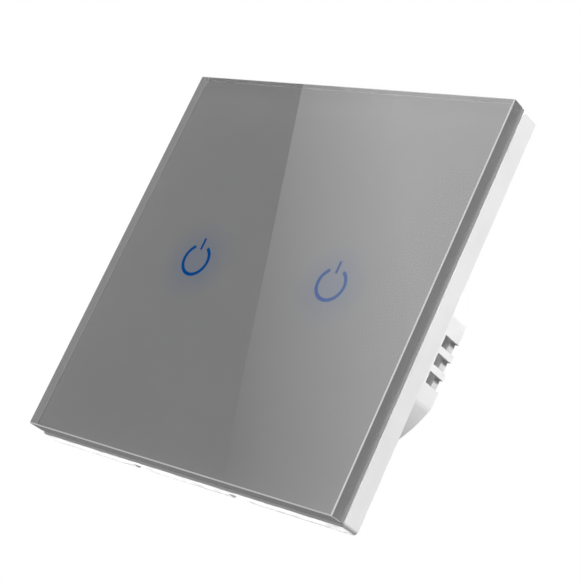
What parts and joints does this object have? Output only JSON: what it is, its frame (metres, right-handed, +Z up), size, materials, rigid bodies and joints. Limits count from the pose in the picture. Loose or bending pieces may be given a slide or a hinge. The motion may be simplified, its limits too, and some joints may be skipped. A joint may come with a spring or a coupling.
{
  "type": "touch light switch",
  "caption": "Square glass-fronted touch light switch for a round wall box, with lit power icons, a pull-off panel, relays and screw terminals in a round rear housing with flats.",
  "frame": {"origin": "middle of the two wall-screw slots in the wall plane, which is the face of the base plate's two wall pads", "axes": "+Z up, +X to the right seen from the front, +Y into the wall; the glass faces -Y"},
  "size_m": [0.086, 0.0365, 0.087],
  "materials": {
    "clear_glass": "polished toughened glass, ground edges",
    "grey_ink": "grey screen print behind the glass",
    "blue_ink": "translucent blue print, lit from behind",
    "grey_tape": "double-sided bonding tape",
    "white_frame": "satin moulded polycarbonate",
    "white_base": "satin moulded polycarbonate",
    "white_cover": "satin moulded polycarbonate",
    "zinc_screws": "zinc plated steel",
    "circuit_board": "green solder mask on glass-epoxy",
    "gilt_spring": "gold-flashed spring wire",
    "lamp_resin": "clear cast resin",
    "chip_black": "moulded epoxy with tinned legs",
    "connector_black": "glass-filled nylon",
    "pin_brass": "gold-flashed brass",
    "white_housing": "fine-textured moulded polycarbonate",
    "can_sleeve": "shrink sleeve on an aluminium can",
    "yellow_case": "moulded box with potting",
    "blue_coating": "dipped epoxy",
    "terminal_white": "moulded polyamide",
    "contact_brass": "stamped brass",
    "terminal_steel": "zinc plated steel",
    "jaw_steel": "stamped, nickel plated",
    "relay_black": "moulded relay case",
    "coil_winding": "enamelled copper winding on a bobbin",
    "relay_iron": "bright plated iron"
  },
  "bodies": {
    "base": {"base_plate": "white_base", "front_cover": "white_cover", "cover_screws": "zinc_screws", "touch_board": "circuit_board", "left_touch_spring": "gilt_spring", "right_touch_spring": "gilt_spring", "left_indicator_lamp": "lamp_resin", "right_indicator_lamp": "lamp_resin", "touch_chip": "chip_black", "pin_strip": "connector_black", "connector_pins": "pin_brass", "connector_socket": "connector_black", "power_board": "circuit_board", "rear_housing": "white_housing", "housing_screws": "zinc_screws", "electrolytic_capacitor": "can_sleeve", "film_capacitor": "yellow_case", "surge_absorber": "blue_coating", "rectifier": "chip_black", "terminal_block": "terminal_white", "contact_strips": "contact_brass", "left_relay_base": "relay_black", "left_relay_case": "relay_black", "left_relay_coil": "coil_winding", "left_relay_yoke": "relay_iron", "left_relay_contact": "contact_brass", "right_relay_base": "relay_black", "right_relay_case": "relay_black", "right_relay_coil": "coil_winding", "right_relay_yoke": "relay_iron", "right_relay_contact": "contact_brass"},
    "panel": {"glass_panel": "clear_glass", "icon_film": "grey_ink", "left_icon_window": "blue_ink", "right_icon_window": "blue_ink", "bonding_tape": "grey_tape", "panel_frame": "white_frame"},
    "live_screw": {"live_terminal_screw": "terminal_steel"},
    "left_screw": {"left_terminal_screw": "terminal_steel"},
    "right_screw": {"right_terminal_screw": "terminal_steel"},
    "live_jaw": {"live_clamp_jaw": "jaw_steel"},
    "left_jaw": {"left_clamp_jaw": "jaw_steel"},
    "right_jaw": {"right_clamp_jaw": "jaw_steel"},
    "left_armature": {"left_relay_armature": "relay_iron"},
    "right_armature": {"right_relay_armature": "relay_iron"}
  },
  "joints": [
    {"name": "panel_pull", "type": "slide", "parent": "base", "child": "panel", "axis": [0, -1, 0], "range_m": [0, 0.02]},
    {"name": "live_screw_turn", "type": "hinge", "parent": "base", "child": "live_screw", "pos_m": [0.01605, 0, 0.0041], "axis": [0, -1, 0], "range_deg": [0, 1621]},
    {"name": "left_screw_turn", "type": "hinge", "parent": "base", "child": "left_screw", "pos_m": [0.01605, 0, 0], "axis": [0, -1, 0], "range_deg": [0, 1621]},
    {"name": "right_screw_turn", "type": "hinge", "parent": "base", "child": "right_screw", "pos_m": [0.01605, 0, -0.0041], "axis": [0, -1, 0], "range_deg": [0, 1621]},
    {"name": "live_jaw_feed", "type": "slide", "parent": "base", "child": "live_jaw", "axis": [0, 1, 0], "range_m": [0, 0.0018]},
    {"name": "left_jaw_feed", "type": "slide", "parent": "base", "child": "left_jaw", "axis": [0, 1, 0], "range_m": [0, 0.0018]},
    {"name": "right_jaw_feed", "type": "slide", "parent": "base", "child": "right_jaw", "axis": [0, 1, 0], "range_m": [0, 0.0018]},
    {"name": "left_armature_rock", "type": "hinge", "parent": "base", "child": "left_armature", "pos_m": [-0.009, 0.0213, -0.00795], "axis": [1, 0, 0], "range_deg": [0, 4.5], "stiffness_Nm_per_rad": 0.002, "springref_deg": -2.86},
    {"name": "right_armature_rock", "type": "hinge", "parent": "base", "child": "right_armature", "pos_m": [-0.0006, 0.0213, -0.00795], "axis": [1, 0, 0], "range_deg": [0, 4.5], "stiffness_Nm_per_rad": 0.002, "springref_deg": -2.86}
  ],
  "couplings": [
    {"joint": "live_screw_turn", "follows": "live_jaw_feed", "rad_per_m": 15708},
    {"joint": "left_screw_turn", "follows": "left_jaw_feed", "rad_per_m": 15708},
    {"joint": "right_screw_turn", "follows": "right_jaw_feed", "rad_per_m": 15708}
  ]
}
